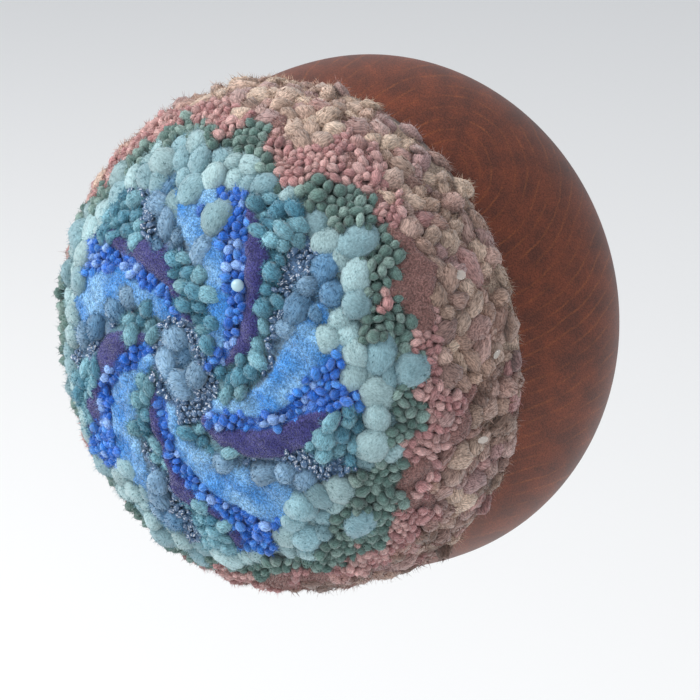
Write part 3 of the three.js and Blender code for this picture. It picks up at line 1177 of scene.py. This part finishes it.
def small_parts(name, places, half, tilt, material, seed):
    """Flattened or round beads: unit spheres stretched by their half sizes, one at each place."""
    rng = np.random.default_rng(seed)
    arc, turn, lift = np.array(places).T
    centres, outward, downhill, sideways = on_dome(arc * MM, turn, lift * MM)
    axes = turned_axes(outward, downhill, sideways, rng.uniform(0, math.pi, len(arc)), tilt, rng)
    shape, quads, caps = blob_shape(20, 12)
    stretched = (shape * np.array(half) * MM)[None].repeat(len(arc), axis=0)
    points = centres[:, None] + np.einsum("kni,kij->knj", stretched, axes)
    stride = len(shape)
    faces = join_faces(quads, len(arc), stride)
    piece = build_mesh(name, points.reshape(-1, 3), faces, join_faces(caps, len(arc), stride))
    return finish_piece(piece, material)


class WOOL_OT_sew_beads(bpy.types.Operator):
    """Sews the clear sequins on the edge tufts and a pearl bead on the whirl"""

    bl_idname = "wool.sew_beads"
    bl_label = "Sew the beads"

    def execute(self, context):
        clear, _, shader = new_material("clear_sequin")
        shader.inputs["Base Color"].default_value = (*srgb(236, 228, 220), 1)
        shader.inputs["Roughness"].default_value = 0.12
        shader.inputs["Transmission Weight"].default_value = 0.6
        small_parts("sequins", SEQUINS, (1.5, 1.5, 0.2), 0.35, clear, 41)
        pearl, _, shader = new_material("pearl_bead")
        shader.inputs["Base Color"].default_value = (*srgb(176, 208, 220), 1)
        shader.inputs["Roughness"].default_value = 0.3
        small_parts("pearls", PEARLS, (1.75, 1.75, 1.75), 0.0, pearl, 42)
        return {"FINISHED"}


class WOOL_OT_raise_nap(bpy.types.Operator):
    """Raises the dense short nap of the sheared patches and the fluff of the sky patches"""

    bl_idname = "wool.raise_nap"
    bl_label = "Raise the nap"

    def execute(self, context):
        pile = context.scene.wool_pile
        rng = np.random.default_rng(31)
        arc, turn = rows_on_dome(NAP_SPACING, 0.5, rng)
        yarn = yarn_on(arc, turn)
        own = np.isin(yarn, [YARN["rust"], YARN["navy"], YARN["sky"]])
        arc, turn, yarn = arc[own], turn[own], yarn[own]
        roots, outward, downhill, sideways = on_dome(arc, turn, ground_lift(arc, turn))
        count = len(roots)
        fluffy = (yarn == YARN["sky"])[:, None]
        lying = unit(downhill * rng.normal(size=(count, 1)) + sideways * rng.normal(size=(count, 1)))
        directions = unit(np.where(fluffy, 0.3, 1.0) * outward + np.where(fluffy, 1.0, 0.7) * lying)
        longest = np.where(fluffy[:, 0], FLUFFY_LENGTH, SHEARED_LENGTH)
        lengths = longest * rng.uniform(0.5, 1.2, count)
        widths = NAP_WIDTH * rng.uniform(0.7, 1.2, count)
        tints = ground_tints(pile, arc, turn) * rng.uniform(0.5, 1.6, (count, 1))
        rooted = roots - outward * HAIR_ROOT
        spikes, faces, tint = straight_hairs(rooted, directions, lengths, widths, tints)
        piece = build_mesh("sheared_nap", spikes, np.zeros((0, 4), int), faces, tint)
        finish_piece(piece, hair_material("nap_fibres"))
        return {"FINISHED"}


# Stage

# Read off the photo in pixels: its width, the centre of the bowl's widest ring and the focal length
PHOTO_WIDTH = 700
BELLY_PIXEL = (377, 311.4)
PHOTO_FOCUS = 3212
SENSOR_WIDTH = 36
FARTHEST_VIEW = 50
# Half a side of the floor, in metres, and its colour
FLOOR_REACH = 9.0
FLOOR_COLOUR = (244, 244, 244)
ROOM_COLOUR = (0.86, 0.89, 0.93)
# Place and side in metres, power in watts and colour of each soft light
LIGHTS = {
    "window": ((-1.1, -1.3, 1.5), 1.0, 47, (1.0, 0.985, 0.96)),
    "fill": ((1.8, -1.0, 0.6), 1.6, 4, (0.93, 0.96, 1.0)),
}


def aim(thing, target):
    """Turns an object at its place so that it looks at a point."""
    direction = (thing.location - target).normalized()
    thing.rotation_euler = direction.to_track_quat("Z", "Y").to_euler()


def add_light(name, place, target, size, power, colour):
    """A square soft light that looks at a point."""
    data = bpy.data.lights.new(name, "AREA")
    data.size, data.energy, data.color = size, power, colour
    light = bpy.data.objects.new(name, data)
    bpy.context.scene.collection.objects.link(light)
    light.location = place
    aim(light, target)
    return light


class WOOL_OT_set_stage(bpy.types.Operator):
    """Sets the floor, the soft light and the camera"""

    bl_idname = "wool.set_stage"
    bl_label = "Set the stage"

    def execute(self, context):
        stage = context.scene.wool_stage
        belly = Vector((0, -BELLY_FROM_FOOT, 0))
        turn, rise = stage.azimuth, stage.elevation
        back = Vector((math.sin(turn) * math.cos(rise), -math.cos(turn) * math.cos(rise), math.sin(rise)))
        right = Vector((math.cos(turn), math.sin(turn), 0))
        up = back.cross(right)
        step = stage.distance / PHOTO_FOCUS
        target = belly - right * ((BELLY_PIXEL[0] - PHOTO_WIDTH / 2) * step)
        target -= up * ((PHOTO_WIDTH / 2 - BELLY_PIXEL[1]) * step)
        data = bpy.data.cameras.new("camera")
        data.sensor_width = SENSOR_WIDTH
        data.lens = data.sensor_width * PHOTO_FOCUS / PHOTO_WIDTH
        data.clip_end = FARTHEST_VIEW
        camera = bpy.data.objects.new("camera", data)
        bpy.context.scene.collection.objects.link(camera)
        camera.location = belly + back * stage.distance
        aim(camera, target)
        context.scene.camera = camera
        corners = np.array([[-1, -1], [1, -1], [1, 1], [-1, 1]]) * FLOOR_REACH
        ground = np.column_stack([corners, np.full(4, -stage.floor_drop)])
        floor = build_mesh("floor", ground, np.array([[0, 1, 2, 3]]), np.zeros((0, 3), int))
        material, _, shader = new_material("pale_floor")
        shader.inputs["Base Color"].default_value = (*srgb(*FLOOR_COLOUR), 1)
        shader.inputs["Roughness"].default_value = 0.9
        floor.data.materials.append(material)
        for name, (place, side, power, colour) in LIGHTS.items():
            add_light(name, Vector(place), belly, side, power, colour)
        world = bpy.data.worlds.new("room")
        world.use_nodes = True
        sky = world.node_tree.nodes["Background"]
        sky.inputs["Color"].default_value = (*ROOM_COLOUR, 1)
        sky.inputs["Strength"].default_value = stage.room_light
        context.scene.world = world
        context.scene.view_settings.view_transform = "Standard"
        return {"FINISHED"}


class WOOL_PT_panel(bpy.types.Panel):
    """Sidebar panel with every step"""

    bl_idname = "WOOL_PT_panel"
    bl_label = "Wool Dome"
    bl_space_type = "VIEW_3D"
    bl_region_type = "UI"
    bl_category = "Wool Dome"

    def draw(self, context):
        layout = self.layout
        for step in STEPS:
            layout.operator(step.bl_idname)
        for group in GROUPS:
            settings = getattr(context.scene, group)
            box = layout.box()
            for key in settings.__annotations__:
                box.prop(settings, key)


STEPS = [
    WOOL_OT_turn_bowl,
    WOOL_OT_lay_ground,
    WOOL_OT_pull_loops,
    WOOL_OT_raise_nap,
    WOOL_OT_sew_beads,
    WOOL_OT_set_stage,
]
GROUPS = {
    "wool_bowl": WoolBowlSettings,
    "wool_pile": WoolPileSettings,
    "wool_stage": WoolStageSettings,
}


def register():
    """Registers the settings, operators and panel."""
    for group, kind in GROUPS.items():
        bpy.utils.register_class(kind)
        setattr(bpy.types.Scene, group, bpy.props.PointerProperty(type=kind))
    for step in STEPS:
        bpy.utils.register_class(step)
    bpy.utils.register_class(WOOL_PT_panel)


def unregister():
    """Takes the settings, operators and panel away again."""
    bpy.utils.unregister_class(WOOL_PT_panel)
    for step in reversed(STEPS):
        bpy.utils.unregister_class(step)
    for group, kind in GROUPS.items():
        delattr(bpy.types.Scene, group)
        bpy.utils.unregister_class(kind)


def main():
    """Runs every step in order."""
    register()
    bpy.ops.wool.turn_bowl()
    bpy.ops.wool.lay_ground()
    bpy.ops.wool.pull_loops()
    bpy.ops.wool.raise_nap()
    bpy.ops.wool.sew_beads()
    bpy.ops.wool.set_stage()


if __name__ == "__main__":
    main()
